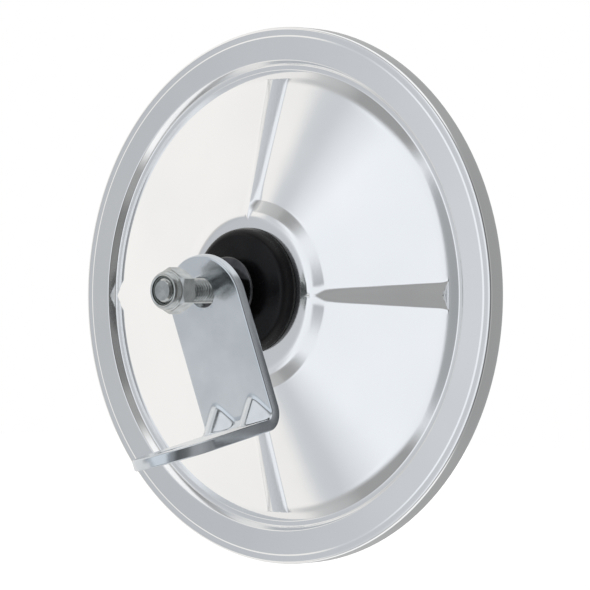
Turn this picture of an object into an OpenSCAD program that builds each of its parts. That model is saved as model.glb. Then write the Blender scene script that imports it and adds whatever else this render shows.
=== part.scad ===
// Round convex mirror on a ball-stud swivel with an angle bracket.
// Lengths are in millimetres and angles in degrees. The head and stud are drawn
// along a swivel axis with the rim plane at zero and the stud side positive.
// The finished part stands with that axis along +Y, +Z up, and its origin in the
// middle of the bracket's mounting hole.

/* [Mirror] */
// Outside diameter of the rim
rim_d = 216; // [208:1:230]
// Depth of the rim's side wall
rim_depth = 8; // [7.5:0.5:10]
// Thickness of the mirror glass
glass_t = 3; // [2:0.5:3]
// Radius of curvature of the mirror's face
glass_curve = 450; // [420:10:700]

/* [Back cover] */
// Sheet thickness of the pressed cover
sheet_t = 0.8; // [0.6:0.1:1]
// Width of the flat band inside the rim
band_w = 9.7; // [8:0.1:11]
// Depth of the groove between the band and the dome
groove_depth = 2.9; // [2:0.1:3]
// Height of the flat hub face above the rim plane
hub_h = 18.6; // [18:0.2:19.4]
// Diameter of the flat hub face
hub_d = 62.4; // [60:0.2:64]
// Distance of the middle of the mirror below the swivel axis
cover_drop = 1.9; // [0:0.1:2]
// Number of pressed ribs
rib_count = 4; // [3:1:8]
// Slope of a rib's crest
rib_slope = 14.9; // [14:0.1:15.4]
// Slope of a rib's flanks
rib_flank = 27; // [22:1:35]

/* [Swivel] */
// Diameter of the ball
ball_d = 16; // [15:0.5:16]
// Diameter of the cone's base
cone_d = 50.4; // [48:0.4:54]
// Height of the cone above the hub face
cone_h = 7; // [6:0.5:7]

/* [Stud and nuts] */
// Diameter of the threaded stud
stud_d = 9.9; // [9:0.1:10]
// Distance of the stud's end from the rim plane
stud_end = 68.2; // [66:0.2:75]
// Width of both nuts across their flats
nut_flats = 16; // [15:0.5:17]
// Height of the jam nut
jam_nut_h = 8; // [6:0.5:8]
// Height of the lock nut with its collar
lock_nut_h = 10.4; // [10:0.1:12]

/* [Bracket] */
// Width of the bracket's strip
strip_w = 37; // [34:1:40]
// Thickness of the strip
strip_t = 4.5; // [4:0.1:4.5]
// Diameter of both holes
hole_d = 12; // [11.8:0.1:12.4]
// Distance from the stud hole to the top of the lower leg
leg_drop = 54.5; // [50:0.5:60]
// Distance from the front of the long leg to the mounting hole
leg_reach = 41.5; // [38:0.5:46]
// Inside radius of the bend
bend_r = 4; // [3:0.5:5]
// Turn of the bracket about the stud
bracket_turn = 12.2; // [0:0.1:20]
// Droop of the lower leg
bracket_droop = 10.5; // [0:0.1:10.5]

/* [Hidden] */
$fn = 180;

// Clearances: thread or slide, and loose
fit_gap = 0.05;
loose_gap = 0.1;

// Rim and band
rim_r = rim_d / 2;
rim_round = 1.2;
rim_edge_w = 3.7;
lip_round = 1.2;
lip_w = 4.4;
lip_r = rim_r - lip_w;
band_outer_r = rim_r - rim_edge_w;
band_inner_r = band_outer_r - band_w;
band_rise = 0.9;

// Dome between the groove and the hub
groove_z = band_rise - groove_depth;
groove_outer_r = band_inner_r - 1.7;
groove_inner_r = groove_outer_r - 1.7;
dome_foot_r = groove_inner_r - 4.7;
dome_foot_z = 0.6;
hub_r = hub_d / 2;
hub_side_r = hub_r + 7;
hub_side_z = hub_h - 3.2;

// Ribs
rib_start_r = 30;
rib_start_z = 18.4;
rib_half_w = 10;
rib_crest_r = 2;
rib_end_r = groove_inner_r - 0.8;

// Glass: the sphere's centre follows from the edge resting behind the lip
glass_r = rim_r - 3.2;
glass_edge_z = 2.4 - rim_depth;
glass_centre_z = glass_edge_z + sqrt(glass_curve * glass_curve - glass_r * glass_r);
glass_back = glass_curve - glass_t;
backing_t = 1.2;
backing_r = glass_r - 4.3;
gasket_w = 5.4;
gasket_r = rim_r - sheet_t - 0.2;
cushion_w = 2.2;
cushion_t = 1.1;

// Ball joint
ball_r = ball_d / 2;
ball_z = hub_h + 0.5;
liner_in_r = ball_r + fit_gap;
liner_out_r = liner_in_r + 0.8;
seat_r = liner_out_r + loose_gap;
neck_r = 4.6;
mouth_r = 7;
gasket_t = 0.5;
cone_side_h = 5.1;
cone_top_r = 9.5;
spigot_r = 13.8;
spigot_end_z = hub_h - 15.8;
bore_r = 11.5;
bore_top_z = ball_z - 3.7;
hub_hole_r = spigot_r + 0.3;
hub_plate_t = 1.5;
hub_plate_r = hub_r - 3.2;
hub_plate_z = hub_h - sheet_t - hub_plate_t;
clamp_washer_t = 1;
clamp_ring_t = 5;
clamp_ring_r = 20;
cup_h = 5.5;
cup_top_z = ball_z - 5.5;
spring_h = 1.5;
spring_t = 0.8;
plug_h = 3;

// Stud, washer and nuts
stud_r = stud_d / 2;
thread_hole_r = stud_r + fit_gap;
washer_z = 29.3;
washer_t = 2;
washer_r = 13.5;
jam_nut_z = washer_z + washer_t;
lock_nut_z = stud_end - 0.2 - lock_nut_h;
collar_h = 3.2;
collar_r = 7.7;
insert_r = 6.6;
insert_h = 2.4;
nut_chamfer = 1.2;

// Bracket: its own frame has its origin in the middle of the stud hole,
// Y along the lower leg and Z up the long leg
hole_r = hole_d / 2;
bracket_y = 43.5;
bracket_hang = 0.45;
end_offset = 3.75;
end_r = strip_w / 2;
leg_front = strip_t / 2;
leg_hole = [0, leg_front + leg_reach, -leg_drop - strip_t / 2];
gusset_x = 9.7;
gusset_half_w = 7.5;
gusset_h = 10;
gusset_root = 0.5;
dent_shift = 3.6;

// Turns a point of the bracket's own frame the way the bracket hangs
function turned(p) = let(
        y = p.y * cos(bracket_droop) + p.z * sin(bracket_droop),
        z = p.z * cos(bracket_droop) - p.y * sin(bracket_droop))
    [p.x * cos(bracket_turn) + z * sin(bracket_turn), y,
        z * cos(bracket_turn) - p.x * sin(bracket_turn)];
bracket_place = [0, bracket_y, -bracket_hang];
mount_point = bracket_place + turned(leg_hole);

// Points of an arc from angle a to angle b
function arc(centre, r, a, b, steps = 6) =
    [for (i = [0 : steps]) let(t = a + (b - a) * i / steps) centre + r * [cos(t), sin(t)]];

// Offsets an open outline by d to its right, with mitred corners
function unit(v) = v / norm(v);
function right_of(a, b) = let(d = unit(b - a)) [d.y, -d.x];
function inset(p, d) = let(last = len(p) - 1) [for (i = [0 : last])
    let(n = right_of(p[max(i - 1, 0)], p[max(i, 1)]),
        m = right_of(p[min(i, last - 1)], p[min(i + 1, last)]))
    p[i] + d * (n + m) / (1 + n * m)];

// Outer face of the back cover from the hub's centre to the rim's lip
cover_face = concat(
    [[0, hub_h], [hub_r, hub_h], [hub_r + 2.2, hub_h - 0.45], [hub_r + 4.4, hub_h - 1.5]],
    [[hub_side_r, hub_side_z], [dome_foot_r, dome_foot_z]],
    [[dome_foot_r + 2.6, dome_foot_z - 1.1], [groove_inner_r, groove_z]],
    [[groove_outer_r, groove_z], [band_inner_r, band_rise], [band_outer_r, band_rise - 0.4]],
    arc([rim_r - rim_round, -rim_round - 0.2], rim_round, 90, 0),
    arc([rim_r - lip_round, lip_round - rim_depth], lip_round, 0, -90, 3),
    [[lip_r, -rim_depth]]);
cover_inside = inset(cover_face, sheet_t);

// Places the swivel axis along +Y with the mounting hole at the origin
module placed() {
    translate(-mount_point)
        rotate([-90, 0, 0])
            children();
}

// The same for the mirror and its cover, which hang a little below the axis
module placed_cover() {
    placed()
        translate([0, cover_drop, 0])
            children();
}

// Half outline of a dished sheet between two radii of the glass's sphere
module dish(outer, inner, edge) {
    intersection() {
        translate([0, glass_centre_z])
            difference() {
                circle(r = outer, $fn = 720);
                circle(r = inner, $fn = 720);
            }
        translate([0, -40])
            square([edge, 60]);
    }
}

// Flat ring with its lower face at z
module ring(outer, inner, h, z) {
    translate([0, 0, z])
        difference() {
            cylinder(r = outer, h = h);
            translate([0, 0, -1])
                cylinder(r = inner, h = h + 2);
        }
}

// One ridge as a sloping prism with a rounded crest, cut off above the groove
module ridge(drop) {
    foot = rib_half_w * tan(rib_flank);
    crest = arc([0, -rib_crest_r / cos(rib_flank)], rib_crest_r, 90 - rib_flank, 90 + rib_flank);
    intersection() {
        translate([rib_start_r, 0, rib_start_z - drop])
            rotate([0, rib_slope, 0])
                rotate([90, 0, 90])
                    linear_extrude(height = 75)
                        polygon(concat([[-rib_half_w, -foot], [-rib_half_w, -9],
                            [rib_half_w, -9], [rib_half_w, -foot]], crest));
        translate([0, 0, -20])
            cylinder(r1 = rib_end_r + 12 - drop, r2 = rib_end_r - 16 - drop, h = 42);
    }
}

module ridges(drop) {
    for (i = [0 : rib_count - 1])
        rotate(i * 360 / rib_count)
            ridge(drop);
}

module back_cover() {
    color("lightsteelblue")
        placed_cover()
            difference() {
                union() {
                    rotate_extrude()
                        polygon(concat(cover_face, [[0, -rim_depth]]));
                    ridges(0);
                }
                rotate_extrude()
                    polygon(concat(cover_inside, [[lip_r, -rim_depth - 1], [0, -rim_depth - 1]]));
                ridges(sheet_t / cos(rib_flank));
                translate([0, -cover_drop, 0])
                    cylinder(r = hub_hole_r, h = hub_h + 1);
            }
}

module mirror_glass() {
    color("lightblue")
        placed_cover()
            rotate_extrude()
                dish(glass_curve, glass_back, glass_r);
}

// U-shaped rubber edging that holds the glass behind the lip
module edge_gasket() {
    front = sheet_t - rim_depth;
    back = -sheet_t - 0.4;
    color("dimgray")
        placed_cover()
            rotate_extrude()
                difference() {
                    polygon([[gasket_r - gasket_w, front], [gasket_r - 0.5, front],
                        [gasket_r, front + 0.5], [gasket_r, -2.4],
                        [gasket_r - 0.7, -1.8], [gasket_r - 2.1, back],
                        [gasket_r - gasket_w, back]]);
                    dish(glass_curve + fit_gap, glass_back - fit_gap, glass_r + fit_gap);
                }
}

module backing_disc() {
    color("darkslategray")
        placed_cover()
            rotate_extrude()
                dish(glass_back, glass_back - backing_t, backing_r);
}

// Foam ring between the groove and the backing disc
module cushion_ring() {
    color("gray")
        placed_cover()
            ring(groove_outer_r, groove_outer_r - cushion_w, cushion_t,
                groove_z - sheet_t - fit_gap - cushion_t);
}

module hub_plate() {
    color("silver")
        placed()
            ring(hub_plate_r, hub_hole_r, hub_plate_t, hub_plate_z);
}

module hub_gasket() {
    color("black")
        placed()
            ring(cone_d / 2 - 0.2, hub_hole_r, gasket_t, hub_h);
}

// Cone with the ball's seat inside and a threaded spigot through the hub
module swivel_housing() {
    base_z = hub_h + gasket_t;
    base_r = cone_d / 2;
    color("black")
        placed()
            rotate_extrude()
                difference() {
                    polygon([[0, spigot_end_z], [spigot_r, spigot_end_z],
                        [spigot_r, base_z], [base_r, base_z], [base_r, base_z + 0.8],
                        [base_r - 0.9, base_z + cone_side_h - 1.4],
                        [base_r - 2.4, base_z + cone_side_h],
                        [cone_top_r, hub_h + cone_h], [0, hub_h + cone_h]]);
                    translate([0, ball_z])
                        circle(r = seat_r);
                    translate([-1, ball_z])
                        square([mouth_r + 1, cone_h + 1]);
                    translate([-1, spigot_end_z - 1])
                        square([bore_r + 1, bore_top_z - spigot_end_z + 1]);
                }
}

// Nylon cup that presses on the ball from behind
module pressure_cup() {
    color("ivory")
        placed()
            rotate_extrude()
                difference() {
                    translate([0, cup_top_z - cup_h])
                        square([bore_r - 0.2, cup_h]);
                    translate([0, ball_z])
                        circle(r = ball_r + loose_gap);
                }
}

// Coned disc spring from z upwards, wide end up or down
module disc_spring(z, wide_up) {
    inner = 5.5;
    outer = bore_r - 0.5;
    low = z + (wide_up ? 0 : spring_h - spring_t);
    high = z + (wide_up ? spring_h - spring_t : 0);
    rotate_extrude()
        polygon([[inner, low], [outer, high], [outer, high + spring_t], [inner, low + spring_t]]);
}

module inner_disc_spring() {
    color("slategray")
        placed()
            disc_spring(cup_top_z - cup_h - 2 * spring_h, true);
}

module outer_disc_spring() {
    color("slategray")
        placed()
            disc_spring(cup_top_z - cup_h - spring_h, false);
}

// Threaded plug with a hexagon socket that sets the spring load
module adjusting_plug() {
    top_z = cup_top_z - cup_h - 2 * spring_h;
    color("goldenrod")
        placed()
            difference() {
                translate([0, 0, top_z - plug_h])
                    cylinder(r = bore_r - fit_gap, h = plug_h);
                translate([0, 0, top_z - plug_h - 1])
                    cylinder(d = 8, h = plug_h - 1, $fn = 6);
            }
}

module clamp_washer() {
    color("silver")
        placed()
            ring(clamp_ring_r + 2, spigot_r + 0.2, clamp_washer_t, hub_plate_z - clamp_washer_t);
}

// Ring nut on the spigot, with four notches for a hook spanner
module clamp_ring() {
    bottom_z = hub_plate_z - clamp_washer_t - clamp_ring_t;
    color("darkgray")
        placed()
            difference() {
                ring(clamp_ring_r, spigot_r + fit_gap, clamp_ring_t, bottom_z);
                for (a = [0 : 90 : 270])
                    rotate(a)
                        translate([clamp_ring_r - 2, -2, bottom_z - 1])
                            cube([4, 4, clamp_ring_t + 2]);
            }
}

// Nylon zone of a sphere that lies between the ball and its seat
module ball_liner() {
    color("white")
        placed()
            rotate_extrude()
                translate([0, ball_z])
                    difference() {
                        circle(r = liner_out_r);
                        circle(r = liner_in_r);
                        polygon([[0, 0], [20 * sin(47), 20 * cos(47)], [0, 20]]);
                        translate([-20, -22])
                            square([40, 22 - liner_in_r * sin(15)]);
                        translate([-20, -20])
                            square([20, 40]);
                    }
}

module ball_stud() {
    end_bevel = 1;
    color("lightgray")
        placed()
            union() {
                translate([0, 0, ball_z])
                    sphere(r = ball_r);
                translate([0, 0, ball_z])
                    cylinder(r = neck_r, h = washer_z - ball_z);
                translate([0, 0, washer_z])
                    cylinder(r = stud_r, h = stud_end - end_bevel - washer_z);
                translate([0, 0, stud_end - end_bevel])
                    cylinder(r1 = stud_r, r2 = stud_r - end_bevel, h = end_bevel);
            }
}

module stud_washer() {
    color("silver")
        placed()
            ring(washer_r, thread_hole_r, washer_t, washer_z);
}

// Hexagon with bevelled corners at the ends asked for, and a flat towards X
module hexagon(h, bevel_top) {
    corner_r = nut_flats / sqrt(3);
    intersection() {
        rotate(30)
            cylinder(r = corner_r, h = h, $fn = 6);
        rotate_extrude()
            polygon([[0, 0], [corner_r - nut_chamfer, 0], [corner_r, nut_chamfer * 0.58],
                [corner_r, bevel_top ? h - nut_chamfer * 0.58 : h],
                [corner_r - (bevel_top ? nut_chamfer : 0), h], [0, h]]);
    }
}

module jam_nut() {
    color("silver")
        placed()
            translate([0, 0, jam_nut_z])
                difference() {
                    hexagon(jam_nut_h, true);
                    translate([0, 0, -1])
                        cylinder(r = thread_hole_r, h = jam_nut_h + 2);
                }
}

// Hexagon nut with a round collar that is rolled over a nylon ring
module lock_nut() {
    hex_h = lock_nut_h - collar_h;
    pocket_h = insert_h + 2 * loose_gap;
    pocket_z = lock_nut_h - 0.5 - pocket_h;
    color("silver")
        placed()
            translate([0, 0, lock_nut_z])
                difference() {
                    union() {
                        hexagon(hex_h, true);
                        rotate_extrude()
                            polygon([[0, hex_h - 1], [collar_r, hex_h - 1],
                                [collar_r, lock_nut_h - 1], [collar_r - 0.4, lock_nut_h - 0.3],
                                [collar_r - 1.2, lock_nut_h], [0, lock_nut_h]]);
                    }
                    translate([0, 0, -1])
                        cylinder(r = thread_hole_r, h = lock_nut_h + 2);
                    translate([0, 0, pocket_z])
                        cylinder(r = insert_r + fit_gap, h = pocket_h);
                    translate([0, 0, pocket_z])
                        cylinder(r = insert_r - 0.7, h = lock_nut_h);
                }
}

module lock_nut_insert() {
    color("slategray")
        placed()
            ring(insert_r, thread_hole_r, insert_h,
                lock_nut_z + lock_nut_h - 0.5 - loose_gap - insert_h);
}

// Wedge that stiffens the inside of the bend
module gusset(x) {
    polyhedron(
        points = [[x, leg_front - gusset_root, gusset_h - leg_drop + gusset_root],
            [x, leg_front + gusset_h + gusset_root, -leg_drop - gusset_root],
            [x - gusset_half_w, leg_front - gusset_root, -leg_drop - gusset_root],
            [x + gusset_half_w, leg_front - gusset_root, -leg_drop - gusset_root]],
        faces = [[0, 1, 2], [0, 3, 1], [0, 2, 3], [1, 3, 2]]);
}

// Flat leg with a rounded end: from the start of the bend to its end's centre
module leg(start, centre) {
    linear_extrude(height = strip_t)
        union() {
            translate([-strip_w / 2, start])
                square([strip_w, centre - start]);
            translate([0, centre])
                circle(r = end_r);
        }
}

module bend() {
    translate([-strip_w / 2, leg_front + bend_r, bend_r - leg_drop])
        rotate([90, 0, 90])
            linear_extrude(height = strip_w)
                intersection() {
                    difference() {
                        circle(r = bend_r + strip_t);
                        circle(r = bend_r);
                    }
                    translate([-20, -20])
                        square([20, 20]);
                }
}

module mount_bracket() {
    color("lightslategray")
        translate(bracket_place - mount_point)
            rotate([0, bracket_turn, 0])
                rotate([-bracket_droop, 0, 0])
                    difference() {
                        union() {
                            translate([0, leg_front, 0])
                                rotate([90, 0, 0])
                                    leg(bend_r - leg_drop, -end_offset);
                            translate([0, 0, -leg_drop - strip_t])
                                leg(leg_front + bend_r, leg_front + leg_reach - end_offset);
                            bend();
                            gusset(-gusset_x);
                            gusset(gusset_x);
                        }
                        for (x = [-gusset_x, gusset_x])
                            translate([0, -dent_shift, -dent_shift])
                                gusset(x);
                        translate([0, 10, 0])
                            rotate([90, 0, 0])
                                cylinder(r = hole_r, h = 20);
                        translate(leg_hole - [0, 0, 10])
                            cylinder(r = hole_r, h = 20);
                    }
}

back_cover();
mirror_glass();
edge_gasket();
backing_disc();
cushion_ring();
hub_plate();
hub_gasket();
swivel_housing();
pressure_cup();
inner_disc_spring();
outer_disc_spring();
adjusting_plug();
clamp_washer();
clamp_ring();
ball_liner();
ball_stud();
stud_washer();
jam_nut();
lock_nut();
lock_nut_insert();
mount_bracket();
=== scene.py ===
"""Round convex mirror seen from behind: pressed stainless back, ball-stud swivel and angle bracket."""
import math

import bmesh
import bpy
from mathutils import Matrix, Vector


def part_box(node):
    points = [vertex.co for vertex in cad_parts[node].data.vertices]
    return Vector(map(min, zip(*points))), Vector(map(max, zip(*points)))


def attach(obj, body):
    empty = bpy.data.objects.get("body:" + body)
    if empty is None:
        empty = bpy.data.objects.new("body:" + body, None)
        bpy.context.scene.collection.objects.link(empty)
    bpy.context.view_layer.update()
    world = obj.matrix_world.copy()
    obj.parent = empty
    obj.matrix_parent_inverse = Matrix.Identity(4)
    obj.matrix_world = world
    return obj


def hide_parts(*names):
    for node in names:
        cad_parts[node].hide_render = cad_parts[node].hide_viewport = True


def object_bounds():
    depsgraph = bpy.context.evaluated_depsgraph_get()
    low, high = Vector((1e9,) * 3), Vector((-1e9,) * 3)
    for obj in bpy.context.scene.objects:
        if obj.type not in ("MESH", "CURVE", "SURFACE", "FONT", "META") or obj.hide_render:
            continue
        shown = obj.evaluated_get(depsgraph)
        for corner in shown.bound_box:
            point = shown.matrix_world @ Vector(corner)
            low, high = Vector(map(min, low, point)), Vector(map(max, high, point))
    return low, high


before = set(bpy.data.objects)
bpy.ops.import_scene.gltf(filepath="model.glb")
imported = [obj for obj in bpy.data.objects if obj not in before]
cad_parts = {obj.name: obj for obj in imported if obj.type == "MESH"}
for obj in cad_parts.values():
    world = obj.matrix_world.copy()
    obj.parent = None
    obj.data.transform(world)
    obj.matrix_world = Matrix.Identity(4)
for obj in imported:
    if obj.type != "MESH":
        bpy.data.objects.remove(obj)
cad_low, cad_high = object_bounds()

# Names that end in _R are radii in millimetres, and those that end in _A are distances in millimetres
# from the rim plane along the swivel axis, positive on the bracket's side.
MM = 0.001
RIM_DEPTH = 8.0
COVER_DROP = 1.9  # from the swivel axis down to the middle of the cover
POLE_R = 1e-4  # closes a turned surface on its axis

cover_low, cover_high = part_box("back_cover")
AXIS_X = (cover_low.x + cover_high.x) / 2
COVER_Z = (cover_low.z + cover_high.z) / 2
AXIS_Z = COVER_Z + COVER_DROP * MM
RIM_Y = cover_low.y + RIM_DEPTH * MM


def on_axis(r, turn, along):
    """A point at radius r and angle turn about the swivel axis, at a distance along it from the rim plane."""
    return Vector((AXIS_X + r * MM * math.cos(turn), RIM_Y + along * MM, AXIS_Z + r * MM * math.sin(turn)))


def on_cover(r, turn, along):
    """The same about the middle of the cover."""
    return on_axis(r, turn, along) - Vector((0, 0, COVER_DROP * MM))


def circle(r, along, segments, place=on_axis):
    return [place(r, 2 * math.pi * k / segments, along) for k in range(segments)]


def degrees(start, gap, count):
    """Evenly spaced angles, given in degrees and returned in radians."""
    return [math.radians(start + gap * k) for k in range(count)]


# ---------------------------------------------------------------- materials
def new_material(name):
    m = bpy.data.materials.new(name)
    m.use_nodes = True
    tree = m.node_tree
    return m, tree, tree.nodes["Principled BSDF"]


def noise(tree, scale, detail=3.0):
    coords = tree.nodes.new("ShaderNodeTexCoord")
    tex = tree.nodes.new("ShaderNodeTexNoise")
    tex.inputs["Scale"].default_value = scale
    tex.inputs["Detail"].default_value = detail
    tree.links.new(coords.outputs["Object"], tex.inputs["Vector"])
    return tex.outputs["Fac"]


def ramp(tree, value, stops):
    """Colour of a value between stops of (position, colour)."""
    node = tree.nodes.new("ShaderNodeValToRGB")
    first, last = node.color_ramp.elements
    first.position, first.color = stops[0][0], (*stops[0][1], 1)
    last.position, last.color = stops[-1][0], (*stops[-1][1], 1)
    for position, colour in stops[1:-1]:
        node.color_ramp.elements.new(position).color = (*colour, 1)
    tree.links.new(value, node.inputs["Fac"])
    return node.outputs["Color"]


def spread(tree, value, low, high):
    """A noise value stretched to run from low to high."""
    node = tree.nodes.new("ShaderNodeMapRange")
    for socket, number in (("From Min", 0.3), ("From Max", 0.7), ("To Min", low), ("To Max", high)):
        node.inputs[socket].default_value = number
    tree.links.new(value, node.inputs["Value"])
    return node.outputs["Result"]


def bump(tree, shader, scale, strength, distance):
    """Fine grain in the surface."""
    node = tree.nodes.new("ShaderNodeBump")
    node.inputs["Strength"].default_value = strength
    node.inputs["Distance"].default_value = distance
    tree.links.new(noise(tree, scale, 4.0), node.inputs["Height"])
    tree.links.new(node.outputs["Normal"], shader.inputs["Normal"])


def metal(name, dark, light, rough, colour_scale, rough_scale, grain=None):
    """A metal whose colour and gloss wander a little, with an optional fine grain."""
    m, tree, shader = new_material(name)
    shader.inputs["Metallic"].default_value = 1.0
    colour = ramp(tree, noise(tree, colour_scale), [(0.3, dark), (0.7, light)])
    tree.links.new(colour, shader.inputs["Base Color"])
    tree.links.new(spread(tree, noise(tree, rough_scale, 4.0), *rough), shader.inputs["Roughness"])
    if grain:
        bump(tree, shader, *grain)
    return m


def plastic(name, dark, light, rough, colour_scale, grain, specular=0.5):
    """A plastic, rubber or foam made the same way."""
    m, tree, shader = new_material(name)
    colour = ramp(tree, noise(tree, colour_scale), [(0.3, dark), (0.7, light)])
    tree.links.new(colour, shader.inputs["Base Color"])
    tree.links.new(spread(tree, noise(tree, colour_scale * 3), *rough), shader.inputs["Roughness"])
    shader.inputs["Specular IOR Level"].default_value = specular
    bump(tree, shader, *grain)
    return m


# Darker and lighter colour, lowest and highest roughness, scales of the colour's and the gloss's noise,
# and the grain's scale, strength and depth in metres
METALS = {
    "polished_stainless": ((0.86, 0.87, 0.88), (0.90, 0.905, 0.91), (0.07, 0.13), 18, 60, (900, 0.05, 0.0001)),
    "zinc_bracket": ((0.58, 0.62, 0.66), (0.66, 0.70, 0.74), (0.14, 0.20), 60, 200, (1500, 0.08, 0.0001)),
    "zinc_plate": ((0.40, 0.42, 0.42), (0.54, 0.56, 0.56), (0.10, 0.18), 300, 500, (2500, 0.12, 0.0001)),
    # dark_steel is zinc-plated steel painted near-black as painted shade, for the shadow behind the bracket
    "dark_steel": ((0.07, 0.07, 0.075), (0.12, 0.12, 0.125), (0.14, 0.22), 200, 400),
    "spring_steel": ((0.28, 0.29, 0.31), (0.38, 0.39, 0.41), (0.25, 0.35), 200, 400),
    "brass_plug": ((0.66, 0.50, 0.24), (0.76, 0.60, 0.32), (0.22, 0.34), 200, 400),
    "mirror_face": ((0.90, 0.92, 0.92), (0.92, 0.93, 0.93), (0.010, 0.018), 5, 9),
}
# The same without the gloss's own scale; the last number is a specular level
PLASTICS = {
    "black_plastic": ((0.005, 0.005, 0.006), (0.009, 0.009, 0.010), (0.22, 0.30), 120, (1600, 0.06, 0.0001), 0.16),
    "black_rubber": ((0.012, 0.012, 0.012), (0.03, 0.03, 0.03), (0.55, 0.75), 200, (1200, 0.3, 0.0002)),
    "backing_board": ((0.06, 0.06, 0.065), (0.10, 0.10, 0.11), (0.7, 0.85), 120, (900, 0.3, 0.0002)),
    "foam": ((0.05, 0.05, 0.05), (0.10, 0.10, 0.10), (0.85, 0.95), 600, (900, 0.6, 0.0004)),
    "white_nylon": ((0.72, 0.71, 0.66), (0.82, 0.81, 0.77), (0.35, 0.5), 150, (900, 0.1, 0.0001)),
    "nylon_ring": ((0.09, 0.105, 0.10), (0.14, 0.16, 0.155), (0.3, 0.45), 300, (1500, 0.15, 0.0001)),
}
MATERIALS = {slot: metal(slot, *look) for slot, look in METALS.items()}
MATERIALS.update((slot, plastic(slot, *look)) for slot, look in PLASTICS.items())


# ---------------------------------------------------------------- tools for building pieces
def finish_piece(obj, body, slot, *replaced, angle=35):
    """Gives a new piece its body, its finish and smooth shading that keeps edges sharper than angle."""
    obj.data.materials.clear()
    obj.data.materials.append(MATERIALS[slot])
    obj.data.polygons.foreach_set("use_smooth", [True] * len(obj.data.polygons))
    obj.data.set_sharp_from_angle(angle=math.radians(angle))
    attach(obj, body)
    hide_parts(*replaced)
    return obj


def mesh_object(name, points, faces, merge=1e-7):
    """A mesh whose points closer than merge, in metres, are joined."""
    mesh = bpy.data.meshes.new(name)
    mesh.from_pydata(points, [], faces)
    bm = bmesh.new()
    bm.from_mesh(mesh)
    bmesh.ops.remove_doubles(bm, verts=bm.verts, dist=merge)
    bmesh.ops.dissolve_degenerate(bm, edges=bm.edges, dist=merge)
    bmesh.ops.recalc_face_normals(bm, faces=bm.faces)
    bm.to_mesh(mesh)
    bm.free()
    obj = bpy.data.objects.new(name, mesh)
    bpy.context.scene.collection.objects.link(obj)
    return obj


def loft(rows, closed_rows):
    """Quads between rows of points that each close on themselves; closed_rows joins the last row to the first."""
    faces = []
    n = len(rows[0])
    for i in range(len(rows) if closed_rows else len(rows) - 1):
        j = (i + 1) % len(rows)
        for k in range(n):
            m = (k + 1) % n
            faces.append((i * n + k, i * n + m, j * n + m, j * n + k))
    return [p for row in rows for p in row], faces


def filleted(points, radii, steps=6):
    """A polyline with each corner rounded to its radius."""
    out = [points[0]]
    for i in range(1, len(points) - 1):
        a, b, c = (Vector(points[i + d]) for d in (-1, 0, 1))
        u, v = (a - b).normalized(), (c - b).normalized()
        half = math.acos(max(-1, min(1, u.dot(v)))) / 2
        r = radii[i - 1]
        if r <= 0 or half > math.pi / 2 - 1e-4:
            out.append(points[i])
            continue
        reach = min(r / math.tan(half), 0.48 * (a - b).length, 0.48 * (c - b).length)
        r = reach * math.tan(half)
        centre = b + (u + v).normalized() * (r / math.sin(half))
        start, end = b + u * reach - centre, b + v * reach - centre
        turn = start.angle_signed(end)
        for s in range(steps + 1):
            out.append(tuple(centre + Matrix.Rotation(-turn * s / steps, 2) @ start))
    out.append(points[-1])
    return out


def closed_fillet(points, radii, steps=5):
    """A closed outline with rounded corners; radii[i] belongs to points[i]."""
    ring = [points[-1]] + list(points) + [points[0]]
    return filleted(ring, radii, steps)[1:-1]


def arc(centre_r, centre_a, radius, angles):
    """Points of an outline on a circle, where the angle 0 points away from the axis."""
    return [(centre_r + radius * math.cos(t), centre_a + radius * math.sin(t)) for t in angles]


def revolved(name, outline, body, slot, replaced, segments=144, angle=35, place=on_axis):
    """A closed outline of (radius, distance along the axis) turned about the swivel axis or the cover's middle."""
    points, faces = loft([circle(r, a, segments, place) for r, a in outline], True)
    return finish_piece(mesh_object(name, points, faces), body, slot, replaced, angle=angle)


def soft_max(a, b, k):
    """The larger of a and b, with the corner between them rounded over k."""
    h = max(k - abs(a - b), 0) / k
    return max(a, b) + h * h * k / 4


# ---------------------------------------------------------------- pressed cover
HOLE_EDGE_R = 14.1
SHEET = 0.8
HUB_A = 18.6
SIDE_R, SIDE_A = 38.2, 15.4  # where the hub's shoulder meets the dome
FOOT_R, FOOT_A = 86.5, 0.6  # where the dome meets the groove
GROOVE_A = -2.0
BAND_IN_R, BAND_OUT_R, RIM_A = 94.6, 105.4, 0.32
RIM_R, RIM_ROUND, LIP_R = 108.0, 1.2, 103.6
DOME_SLOPE = (SIDE_A - FOOT_A) / (FOOT_R - SIDE_R)
base_line = filleted(
    [(HOLE_EDGE_R, HUB_A), (32.2, HUB_A), (SIDE_R, SIDE_A), (FOOT_R, FOOT_A), (90.9, GROOVE_A), (93.0, GROOVE_A),
     (BAND_IN_R, 0.9), (104.2, 0.55), (104.6, RIM_A), (BAND_OUT_R, RIM_A)],
    [8.0, 1.2, 20.0, 1.0, 0.8, 0.6, 0.2, 0.2],
    steps=8,
)

# Four ridges, highest at the foot of the dome
RIB_START_R, RIB_END_R, RIB_CLEAR_R = 30, 87.35, 91
RIB_RISE_SIDE, RIB_RISE_FOOT = 1.6, 2.9  # crest above the dome
RIB_FLANK, RIB_END_SLOPE = 0.543, 8.0
RIB_HALF_W = 16
SIDE_STEPS = [0, 0.3, 0.6, 1.0, 1.6, 2.3, 3.1, 3.9, 4.5, 4.9, 5.2, 5.5, 5.9, 6.5, 7.5, 9, 11, 13.5, 16.5]
BETWEEN_RIBS = 99.0  # a distance to the side at which there is no ridge


def base_height(r):
    """Height of the cover between its ridges."""
    for (r0, a0), (r1, a1) in zip(base_line, base_line[1:]):
        if r <= r1:
            return a0 + (a1 - a0) * (r - r0) / max(r1 - r0, 1e-9)
    return base_line[-1][1]


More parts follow.
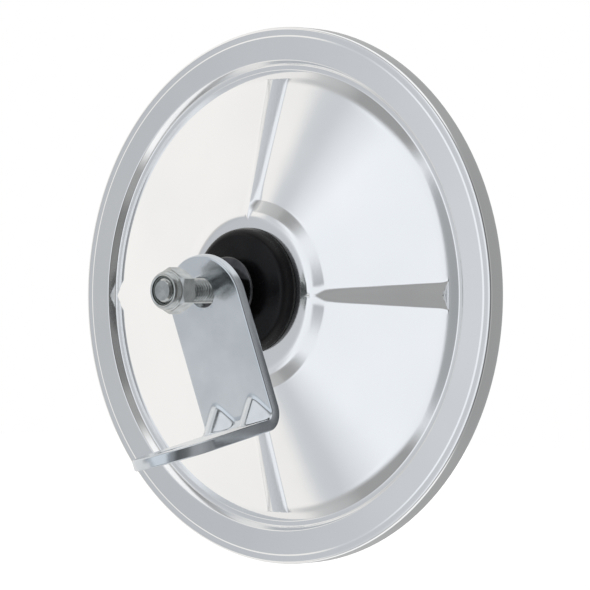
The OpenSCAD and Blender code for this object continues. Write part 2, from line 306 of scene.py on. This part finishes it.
def rib_height(r, u):
    """Ridge surface at radius r and distance u to the side of its crest."""
    crest_above = RIB_RISE_SIDE + (RIB_RISE_FOOT - RIB_RISE_SIDE) * (r - SIDE_R) / (FOOT_R - SIDE_R)
    crest = min(SIDE_A - (r - SIDE_R) * DOME_SLOPE + crest_above, HUB_A)
    return -soft_max(abs(u) * RIB_FLANK - crest, RIB_END_SLOPE * (r - RIB_END_R), 0.3)


def cover_height(r, u):
    base = base_height(r)
    if r < RIB_START_R or r > RIB_CLEAR_R or abs(u) > RIB_HALF_W:
        return base
    # The blend widens towards the hub and closes where the ridge starts
    blend = (0.4 + 0.12 * min(max(44 - r, 0), 10)) * min(max((r - RIB_START_R) / 5, 0.02), 1)
    return soft_max(base, rib_height(r, u), blend)


def cover_columns(r):
    """(angle, distance to the side of the nearest rib) for every column of the cover's mesh."""
    side_steps = [-s for s in reversed(SIDE_STEPS[1:])] + SIDE_STEPS
    reach = min(r / SIDE_R, 1.0)
    edge = math.asin(min(SIDE_STEPS[-1] * reach / r, 0.7))
    between = 30
    out = []
    for quarter in range(4):
        start = quarter * math.pi / 2
        out += [(start + math.asin(s * reach / r), s * reach) for s in side_steps]
        out += [(start + edge + (math.pi / 2 - 2 * edge) * k / between, BETWEEN_RIBS) for k in range(1, between)]
    return out


def around_hole(r, turn):
    """Eases the innermost radii from the cover's middle to the hole on the swivel axis."""
    eased_to = 24
    edge = COVER_DROP * math.sin(turn) + math.sqrt(HOLE_EDGE_R ** 2 - (COVER_DROP * math.cos(turn)) ** 2)
    return r + (edge - HOLE_EDGE_R) * max(eased_to - r, 0) / (eased_to - HOLE_EDGE_R)


def cover_row(r, height_at):
    return [on_cover(around_hole(r, t), t, height_at(r, u)) for t, u in cover_columns(r)]


def inner_height(r, u):
    """Height of the sheet's hidden face, which keeps the sheet's thickness on slopes."""
    step = 0.15
    fall = (cover_height(r + step, u) - cover_height(max(r - step, HOLE_EDGE_R), u)) / (2 * step)
    return cover_height(r, u) - SHEET * min(math.sqrt(1 + fall * fall), 2.0)


def spaced(start, gap, count):
    return [start + gap * k for k in range(count)]


radii = sorted(set(
    [round(r, 4) for r, a in base_line] + spaced(HOLE_EDGE_R, 2.2, 8) + spaced(32, 0.8, 9) + spaced(39, 1.9, 24)
    + spaced(84.5, 0.4, 17) + spaced(86.75, 0.07, 10) + [95.3] + spaced(96, 2.2, 4) + [103.8, 104.05, 104.75, 104.95]
))
radii = [r for i, r in enumerate(radii) if i == 0 or r - radii[i - 1] > 0.06 or r in (HOLE_EDGE_R, BAND_OUT_R)]

round_r = RIM_R - RIM_ROUND
low_round_a = RIM_ROUND - RIM_DEPTH
rim = [(106.2, RIM_A)] + arc(round_r, RIM_A - RIM_ROUND, RIM_ROUND, degrees(86, -8.6, 11))
rim += [(RIM_R, -3.0), (RIM_R, -5.0), (RIM_R, low_round_a)]
rim += arc(round_r, low_round_a, RIM_ROUND, degrees(-18, -18, 5))
rim += [(LIP_R + dr, a) for dr, a in ((0.4, -8.0), (0.12, -7.88), (0, -7.6), (0.12, -7.32), (0.4, -7.2))]
rim += [(106.6, -7.2), (107.1, -7.0), (RIM_R - SHEET, -6.6), (RIM_R - SHEET, -1.4)]
rim += arc(round_r, -1.4, RIM_ROUND - SHEET, degrees(18, 18, 4))

cover_rows = [cover_row(r, cover_height) for r in radii]
cover_rows += [cover_row(r, lambda _r, _u, a=a: a) for r, a in rim]
cover_rows += [cover_row(r, inner_height) for r in radii[::-1][::2]]
if len(radii) % 2 == 0:
    cover_rows.append(cover_row(HOLE_EDGE_R, lambda _r, _u: HUB_A - SHEET))
points, faces = loft(cover_rows, True)
finish_piece(mesh_object("cover_shell", points, faces), "head", "polished_stainless", "back_cover", angle=40)

# ---------------------------------------------------------------- mirror glass and its edging
GLASS_R, CURVE_R, GLASS_T, GLASS_EDGE_A = 104.8, 450.0, 3.0, 2.4 - RIM_DEPTH
BEVEL = 0.4
centre_a = GLASS_EDGE_A + math.sqrt(CURVE_R * CURVE_R - GLASS_R * GLASS_R)


def dish_a(sphere_r, r):
    return centre_a - math.sqrt(sphere_r * sphere_r - r * r)


back_r = CURVE_R - GLASS_T
glass_radii = [max(GLASS_R * math.sin(math.pi / 2 * k / 40), POLE_R) for k in range(38)]
glass = [(r, dish_a(CURVE_R, r)) for r in glass_radii]
glass += [(GLASS_R - BEVEL, dish_a(CURVE_R, GLASS_R - BEVEL)), (GLASS_R, dish_a(CURVE_R, GLASS_R) + 0.35)]
glass += [(GLASS_R, dish_a(back_r, GLASS_R) - 0.3), (GLASS_R - BEVEL, dish_a(back_r, GLASS_R - BEVEL))]
glass += [(r, dish_a(back_r, r)) for r in reversed(glass_radii)]
revolved("mirror_face", glass, "head", "mirror_face", "mirror_glass", segments=180, place=on_cover)

lip_in, lip_out, slot_r = LIP_R - 2.0, 106.9, GLASS_R + 0.05
gasket = closed_fillet(
    [(lip_in, -7.2), (lip_out, -7.2), (lip_out, -2.4), (106.2, -1.8), (104.9, -1.2), (lip_in, -1.2), (lip_in, -2.2),
     (slot_r, -2.6), (slot_r, -5.7), (lip_in, dish_a(CURVE_R, lip_in) - 0.06)],
    [0.5, 0.4, 0.4, 0.4, 0.3, 0.3, 0.2, 0.1, 0.1, 0.25],
)
revolved("edging", gasket, "head", "black_rubber", "edge_gasket", place=on_cover)

# ---------------------------------------------------------------- black cone
BASE_A, CONE_R, CONE_TOP_R, CONE_TOP_A = HUB_A + 0.5, 25.2, 9.5, HUB_A + 7
BORE_R, SPIGOT_R, SPIGOT_END_A, MOUTH_R = 11.5, 13.8, HUB_A - 15.8, 7.0
BALL_A, BALL_R, SEAT_R = HUB_A + 0.5, 8.0, 8.95
seat = [p for p in arc(0, BALL_A, SEAT_R, degrees(-24, 4, 16)) if p[1] > BALL_A - 3.6]
cone = filleted(
    [(BORE_R, SPIGOT_END_A), (SPIGOT_R, SPIGOT_END_A), (SPIGOT_R, BASE_A), (CONE_R, BASE_A),
     (CONE_R - 0.9, BASE_A + 5.2), (CONE_TOP_R, CONE_TOP_A), (MOUTH_R, CONE_TOP_A), (MOUTH_R, BALL_A + 5.5)],
    [0.4, 0.2, 0.3, 4.0, 1.1, 0.5],
    steps=9,
)
cone += seat[::-1] + [(BORE_R, BALL_A - 3.7)]
revolved("cone", cone, "head", "black_plastic", "swivel_housing", segments=160, angle=40)

# ---------------------------------------------------------------- stud and its washer
STUD_R, PITCH, ROOT_R, STUD_END_A = 4.95, 1.5, 3.98, 68.2
NECK_R, END_R = 4.6, 3.85
WASHER_A, WASHER_T, WASHER_R = 29.3, 2, 13.5
THREAD_A = WASHER_A + 0.7
TURN_STEPS = 48


def thread_radius(turn, along):
    """Right-hand thread with rounded crests and roots."""
    phase = (along / PITCH - turn / (2 * math.pi)) % 1.0
    tooth = 1 - abs(2 * phase - 1)
    tooth = min(max((tooth - 0.13) / 0.74, 0), 1)
    tooth = tooth * tooth * (3 - 2 * tooth) * 0.35 + tooth * 0.65
    return ROOT_R + (STUD_R - ROOT_R) * tooth


def thread_row(along):
    """One row of the thread, which grows out of the neck and tapers at the end of the stud."""
    limit = min(STUD_R, END_R + (STUD_END_A - along) * 1.1)
    grown = min((along - THREAD_A) / 1.2, 1.0)
    row = []
    for k in range(TURN_STEPS):
        turn = 2 * math.pi * k / TURN_STEPS
        row.append(on_axis(min(NECK_R * (1 - grown) + thread_radius(turn, along) * grown, limit), turn, along))
    return row


stud_profile = [(POLE_R, BALL_A - BALL_R)]
stud_profile += [(BALL_R * math.sin(t), BALL_A - BALL_R * math.cos(t)) for t in degrees(6, 6, 23)]
stud_profile += [(4.75, BALL_A + 6.47), (NECK_R, BALL_A + 6.9), (NECK_R, WASHER_A - 0.1), (NECK_R, WASHER_A + 0.6)]
thread_steps = int((STUD_END_A - THREAD_A) / (PITCH / 10))
stud_rows = [circle(r, a, TURN_STEPS) for r, a in stud_profile]
stud_rows += [thread_row(THREAD_A + (STUD_END_A - THREAD_A) * s / thread_steps) for s in range(thread_steps + 1)]
stud_rows += [circle(r, STUD_END_A, TURN_STEPS) for r in (3.4, 2.0, POLE_R)]
points, faces = loft(stud_rows, False)
finish_piece(mesh_object("threaded_stud", points, faces, 2e-7), "stud", "zinc_plate", "ball_stud", angle=36)

washer_top_a = WASHER_A + WASHER_T
washer = closed_fillet(
    [(5.0, WASHER_A), (WASHER_R, WASHER_A), (WASHER_R, washer_top_a), (5.0, washer_top_a)], [0.2, 0.35, 0.55, 0.2]
)
# The washer gets the near-black steel, which paints the shade behind the bracket into its colour
revolved("washer", washer, "stud", "dark_steel", "stud_washer", segments=128, angle=40)

# ---------------------------------------------------------------- nuts
FLATS = 16.0
BEVEL_R = FLATS / 2 - 0.35
BEVEL_SLOPE = math.tan(math.radians(30))
NUT_BORE_R = STUD_R + 0.08
side_turns = (-30, -28.5, -27, -24, -20, -15, -10, -5, 0, 5, 10, 15, 20, 24, 27, 28.5, 29.3)
NUT_TURNS = [math.radians(k * 60 + d) for k in range(6) for d in side_turns]


def hex_radius(turn):
    """Radius of a hexagon with slightly rounded corners, with a flat towards X."""
    total = 0.0
    for k in range(6):
        reach = math.cos(turn - k * math.pi / 3) / (FLATS / 2)
        if reach > 0:
            total += reach ** 70
    return total ** (-1 / 70)


def bevel_row(end_a, inwards, share):
    """A row of a nut's coned end: share runs from its inner circle, 0, to the sides, 1."""
    row = []
    for t in NUT_TURNS:
        past = hex_radius(t) - BEVEL_R
        row.append(on_axis(BEVEL_R + past * share, t, end_a + inwards * max(past, 0) * BEVEL_SLOPE * share))
    return row


def nut(name, body, slot, low_a, height, collar, replaced):
    """Hexagon nut with coned ends; collar lists (radius, height above low_a) from the hexagon's top to the hole."""
    def ring_row(r, a):
        return [on_axis(r, t, a) for t in NUT_TURNS]

    rows = [ring_row(NUT_BORE_R + 0.5, low_a), ring_row(BEVEL_R - 0.4, low_a)]
    rows += [bevel_row(low_a, 1, share) for share in (0.0, 0.5, 1.0)]
    rows.append([on_axis(hex_radius(t), t, low_a + height * 0.5) for t in NUT_TURNS])
    rows += [bevel_row(low_a + height, -1, share) for share in (1.0, 0.5, 0.0)]
    rows += [ring_row(r, low_a + h) for r, h in collar]
    rows.append(ring_row(NUT_BORE_R, low_a + 0.6))
    points, faces = loft(rows, True)
    finish_piece(mesh_object(name, points, faces), body, slot, replaced, angle=28)


JAM_A, JAM_H = 31.3, 8.0
# The jam nut gets the same near-black steel, painted shade for the shadow behind the bracket
nut("jam_nut_body", "stud", "dark_steel", JAM_A, JAM_H, [(5.5, JAM_H), (NUT_BORE_R, JAM_H - 0.5)], "jam_nut")

LOCK_A, LOCK_H, LOCK_HEX_H = 57.6, 10.4, 7.2
COLLAR_R, RING_R, RING_H = 7.45, 5.9, 2.6
collar = filleted(
    [(7.75, LOCK_HEX_H - 0.05), (COLLAR_R, LOCK_HEX_H + 0.3), (COLLAR_R, LOCK_H - 1.1), (6.5, LOCK_H - 0.05),
     (5.75, LOCK_H - 0.35), (RING_R, LOCK_H - 1.0)],
    [0.2, 1.0, 0.5, 0.2],
)
collar += [(RING_R, LOCK_H - 0.9 - RING_H), (NUT_BORE_R, LOCK_H - 1.0 - RING_H)]
nut("lock_nut_body", "nut", "zinc_plate", LOCK_A, LOCK_HEX_H, collar, "lock_nut")

ring_low, ring_high = LOCK_A + LOCK_H - 3.0, LOCK_A + LOCK_H - 0.8
nylon = closed_fillet([(5.0, ring_low), (5.85, ring_low), (5.85, ring_high), (5.0, ring_high)], [0.1, 0.1, 0.35, 0.35])
revolved("nylon_ring", nylon, "nut_carrier", "nylon_ring", "lock_nut_insert", segments=96, angle=40)

# ---------------------------------------------------------------- bracket
STRIP_W, STRIP_T, BEND_R, HOLE_R = 37.0, 4.5, 4.0, 6.0
DROP, REACH, END_OFF = 54.5, 41.5, 3.75  # hole to bend on the two legs, and rounded end past the hole's level
EDGE = 0.7
TURN, DROOP = math.radians(12.2), math.radians(10.5)
GUSSET_X, GUSSET_H, GUSSET_HALF_W = 9.7, 11.0, 8.2
GUSSET_SHEET = 7.2  # how much lower the gusset's hollow underside is pushed
hole_low = Vector((0, STRIP_T / 2 + REACH, -DROP - STRIP_T / 2))
turned = Matrix.Rotation(TURN, 4, "Y") @ Matrix.Rotation(-DROOP, 4, "X")
placed = turned @ Matrix.Translation(-hole_low * MM)

END_R_OUT = STRIP_W / 2
BEND_ARC = BEND_R * math.pi / 2
S_TOP, S_LOW = BEND_R + END_OFF - DROP, BEND_ARC + REACH - END_OFF - BEND_R


def strip_point(x, s, depth):
    """Point of the strip: x across, s along the inner face (0 where the bend starts), depth below that face."""
    if s < 0:
        y, z = -depth, BEND_R - s
    elif s > BEND_ARC:
        y, z = BEND_R + s - BEND_ARC, -depth
    else:
        a = s / BEND_R
        y, z = BEND_R - (BEND_R + depth) * math.cos(a), BEND_R - (BEND_R + depth) * math.sin(a)
    side = math.sqrt((abs(x) - GUSSET_X) ** 2 + 5.0) - 1.5
    level = GUSSET_H * (1 - side / GUSSET_HALF_W)
    if depth > STRIP_T / 2:
        level -= GUSSET_SHEET
    if level >= -6:
        push = soft_max(0, (level - (y + z)) / math.sqrt(2), 1.2) / math.sqrt(2)
        y += push
        z += push
    return placed @ (Vector((x, STRIP_T / 2 + y, z - DROP)) * MM)


def outline_point(kind, value, inset):
    """Half width and place along the strip, on an outline that lies inset inside the strip's edge."""
    r = END_R_OUT - inset
    if kind == "mid":
        return r, value
    if kind == "top":
        return r * math.sin(value), S_TOP - r * math.cos(value)
    return r * math.sin(value), S_LOW + r * math.cos(value)


# Stations along the strip, closest where the bend and the gussets are
COARSE, FINE = 1.6, 0.42
straight = [S_TOP + COARSE * k for k in range(int((-14 - S_TOP) / COARSE) + 1)]
straight += [straight[-1] + FINE * (k + 1) for k in range(int((BEND_ARC + 12 - straight[-1]) / FINE))]
straight += [straight[-1] + COARSE * (k + 1) for k in range(int((S_LOW - straight[-1]) / COARSE))] + [S_LOW]
stations = [("top", t) for t in degrees(0, 3.75, 24)] + [("mid", s) for s in straight]
stations += [("low", t) for t in degrees(86.25, -3.75, 24)]
COLS = 88
edge_rings = [(EDGE * (1 - math.sin(t)), EDGE * (1 - math.cos(t))) for t in degrees(0, 22.5, 5)]
bracket_rows = []
for kind, value in stations:
    row = []
    w, s = outline_point(kind, value, EDGE)
    for face, sign in ((0, 1), (STRIP_T, -1)):
        # Across one face, then round the edge to the other
        row += [strip_point(sign * w * (2 * c / COLS - 1), s, face) for c in range(1, COLS)]
        corner = edge_rings + [(inset, STRIP_T - d) for inset, d in reversed(edge_rings)]
        for inset, d in corner:
            edge_w, edge_s = outline_point(kind, value, inset)
            row.append(strip_point(sign * edge_w, edge_s, d if face == 0 else STRIP_T - d))
    bracket_rows.append(row)
points, faces = loft(bracket_rows, False)
bracket = mesh_object("bracket_strip", points, faces, 2e-6)


def hole_cutter(name, centre, to_axis):
    """Cylinder with flared ends, which leaves a hole with rounded edges."""
    flare, past, half, segments = 0.45, 0.6, STRIP_T / 2, 64
    outline = [(HOLE_R + flare + past, half + past)]
    outline += [(HOLE_R + flare * (1 - math.cos(t)), half - flare * (1 - math.sin(t))) for t in degrees(90, -18, 6)]
    outline += [(r, -a) for r, a in reversed(outline)]
    to_bracket = Matrix.Translation(centre * MM) @ to_axis @ Matrix.Scale(MM, 4)

    def in_place(r, turn, a):
        return placed @ (to_bracket @ Vector((r * math.cos(turn), r * math.sin(turn), a)))

    rows = [circle(r, a, segments, in_place) for r, a in outline]
    rows = [[in_place(POLE_R, 0, outline[0][1])] * segments] + rows + [[in_place(POLE_R, 0, outline[-1][1])] * segments]
    points, faces = loft(rows, False)
    return mesh_object(name, points, faces)


for name, centre, to_axis in (("cut_top", Vector((0, 0, 0)), Matrix.Rotation(math.pi / 2, 4, "X")),
                              ("cut_low", hole_low, Matrix.Identity(4))):
    cutter = hole_cutter(name, centre, to_axis)
    cut = bracket.modifiers.new(name, "BOOLEAN")
    cut.operation, cut.solver, cut.object = "DIFFERENCE", "EXACT", cutter
    with bpy.context.temp_override(object=bracket, active_object=bracket):
        bpy.ops.object.modifier_apply(modifier=name)
    bpy.data.objects.remove(cutter)
finish_piece(bracket, "bracket", "zinc_bracket", "mount_bracket", angle=60)
bracket.visible_glossy = False

# ---------------------------------------------------------------- CAD nodes that stay
stays = {
    "backing_disc": "backing_board", "cushion_ring": "foam", "hub_plate": "zinc_plate", "hub_gasket": "black_rubber",
    "pressure_cup": "white_nylon", "inner_disc_spring": "spring_steel", "outer_disc_spring": "spring_steel",
    "adjusting_plug": "brass_plug", "clamp_washer": "zinc_plate", "clamp_ring": "black_plastic",
    "ball_liner": "white_nylon",
}
for node, slot in stays.items():
    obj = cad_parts[node]
    for s in obj.material_slots:
        s.material = MATERIALS[slot]

# ---------------------------------------------------------------- camera
AZIMUTH = math.radians(221)
to_camera = Vector((math.sin(AZIMUTH), -math.cos(AZIMUTH), 0))
right = Vector((math.cos(AZIMUTH), math.sin(AZIMUTH), 0))
up = Vector((0, 0, 1))
DISTANCE = 1.30  # metres
target = Vector((AXIS_X, RIM_Y, COVER_Z)) + right * 0.0067 + up * 0.0002
cam_data = bpy.data.cameras.new("camera")
cam_data.sensor_width = 36
cam_data.lens = 197
cam_data.clip_end = 50
cam = bpy.data.objects.new("camera", cam_data)
bpy.context.scene.collection.objects.link(cam)
facing = Matrix((right, up, to_camera)).transposed().to_4x4()
cam.matrix_world = Matrix.Translation(target + to_camera * DISTANCE) @ facing
bpy.context.scene.camera = cam

# ---------------------------------------------------------------- studio
scene = bpy.context.scene
scene.view_settings.view_transform = "Standard"
world = bpy.data.worlds.new("studio")
scene.world = world
world.use_nodes = True
wt = world.node_tree
wt.nodes.clear()


def math_node(op, *values):
    """A math node of sockets and numbers."""
    n = wt.nodes.new("ShaderNodeMath")
    n.operation = op
    for i, v in enumerate(values):
        if isinstance(v, (int, float)):
            n.inputs[i].default_value = v
        else:
            wt.links.new(v, n.inputs[i])
    return n.outputs[0]


def dot(direction):
    """How far the world's direction points along a fixed one."""
    n = wt.nodes.new("ShaderNodeVectorMath")
    n.operation = "DOT_PRODUCT"
    wt.links.new(sky.outputs["Generated"], n.inputs[0])
    n.inputs[1].default_value = direction
    return n.outputs["Value"]


def step(value, low, high):
    """Runs smoothly from 0 at low to 1 at high."""
    n = wt.nodes.new("ShaderNodeMapRange")
    n.interpolation_type = "SMOOTHSTEP"
    n.inputs["From Min"].default_value = low
    n.inputs["From Max"].default_value = high
    wt.links.new(value, n.inputs["Value"])
    return n.outputs["Result"]


def mix(fac, a, b):
    """A mix of two colours, each a socket or a tuple."""
    n = wt.nodes.new("ShaderNodeMix")
    n.data_type = "RGBA"
    wt.links.new(fac, n.inputs["Factor"])
    for socket, v in ((n.inputs[6], a), (n.inputs[7], b)):
        if isinstance(v, tuple):
            socket.default_value = (*v, 1)
        else:
            wt.links.new(v, socket)
    return n.outputs[2]


sky = wt.nodes.new("ShaderNodeTexCoord")
ahead = dot(to_camera)
aside = dot(-right)
height = dot(up)
bearing = math_node("ARCTAN2", aside, ahead)
around = math_node("MULTIPLY_ADD", bearing, 1 / (2 * math.pi), 0.5)
lift = math_node("MULTIPLY", math_node("ABSOLUTE", math_node("ARCSINE", height)), 180 / math.pi)


def ring(stops):
    """Colour round the horizon from (degrees to the left of the first view's direction, colour)."""
    return ramp(wt, around, [((d + 180) / 360, c) for d, c in stops])


def grey(v, tint=(1, 1, 1)):
    return (v * tint[0], v * tint[1], v * tint[2])


COOL, WARM = (0.955, 0.985, 1.025), (1.01, 0.99, 0.965)
# Three rings of soft panels: a low one, a middle one and a high one, and a white ceiling and floor
behind = [
    (-180, grey(0.5)), (-150, grey(0.40)), (-108, grey(0.35)), (-86, grey(0.33)), (-55, grey(0.46)), (-34, grey(0.42)),
    (-22, grey(0.20)), (4, grey(0.12)), (13, grey(0.34, COOL)), (25, grey(0.44, COOL)), (31, grey(0.95, COOL)),
]
beside = [(104, grey(0.98, WARM)), (160, grey(0.98, WARM)), (180, grey(0.5))]
low_side = [(66, grey(1.0, COOL)), (73, grey(0.74, COOL)), (82, grey(0.60, COOL)), (89, grey(0.54, COOL)),
            (96, grey(0.64, WARM))]
mid_side = [(60, grey(1.0, COOL)), (67, grey(0.82, COOL)), (72, grey(0.66, COOL)), (77, grey(0.68, COOL)),
            (81, grey(0.95, WARM))]
high_side = [
    (-180, grey(0.4)), (-100, grey(0.4)), (-40, grey(0.4)), (20, grey(0.3)), (45, grey(0.36)), (64, grey(0.36)),
    (72, grey(0.48)), (88, grey(0.6)), (96, grey(0.9, WARM)), (150, grey(0.95, WARM)), (180, grey(0.4)),
]
surround = mix(step(lift, 12, 21), ring(behind + low_side + beside), ring(behind + mid_side + beside))
surround = mix(step(lift, 32, 42), surround, ring(high_side))
surround = mix(step(lift, 50, 64), surround, grey(1.05))
background = wt.nodes.new("ShaderNodeBackground")
wt.links.new(surround, background.inputs["Color"])
white = wt.nodes.new("ShaderNodeBackground")
white.inputs["Color"].default_value = (1, 1, 1, 1)
path = wt.nodes.new("ShaderNodeLightPath")
choose = wt.nodes.new("ShaderNodeMixShader")
wt.links.new(path.outputs["Is Camera Ray"], choose.inputs["Fac"])
wt.links.new(background.outputs["Background"], choose.inputs[1])
wt.links.new(white.outputs["Background"], choose.inputs[2])
out = wt.nodes.new("ShaderNodeOutputWorld")
wt.links.new(choose.outputs["Shader"], out.inputs["Surface"])

# Pale floor, well below the part
floor_mesh = bpy.data.meshes.new("floor")
half = 6.0
floor_z = cad_low[2] - 0.30  # metres
corners = [(-half, -half, floor_z), (half, -half, floor_z), (half, half, floor_z), (-half, half, floor_z)]
floor_mesh.from_pydata(corners, [], [(0, 1, 2, 3)])
floor = bpy.data.objects.new("floor", floor_mesh)
bpy.context.scene.collection.objects.link(floor)
floor_mat, floor_tree, floor_shader = new_material("floor_white")
floor_shader.inputs["Base Color"].default_value = (0.9, 0.9, 0.9, 1)
floor_shader.inputs["Roughness"].default_value = 0.9
floor_shader.inputs["Emission Color"].default_value = (1, 1, 1, 1)
floor_shader.inputs["Emission Strength"].default_value = 0.55
floor_mesh.materials.append(floor_mat)
floor.visible_glossy = False
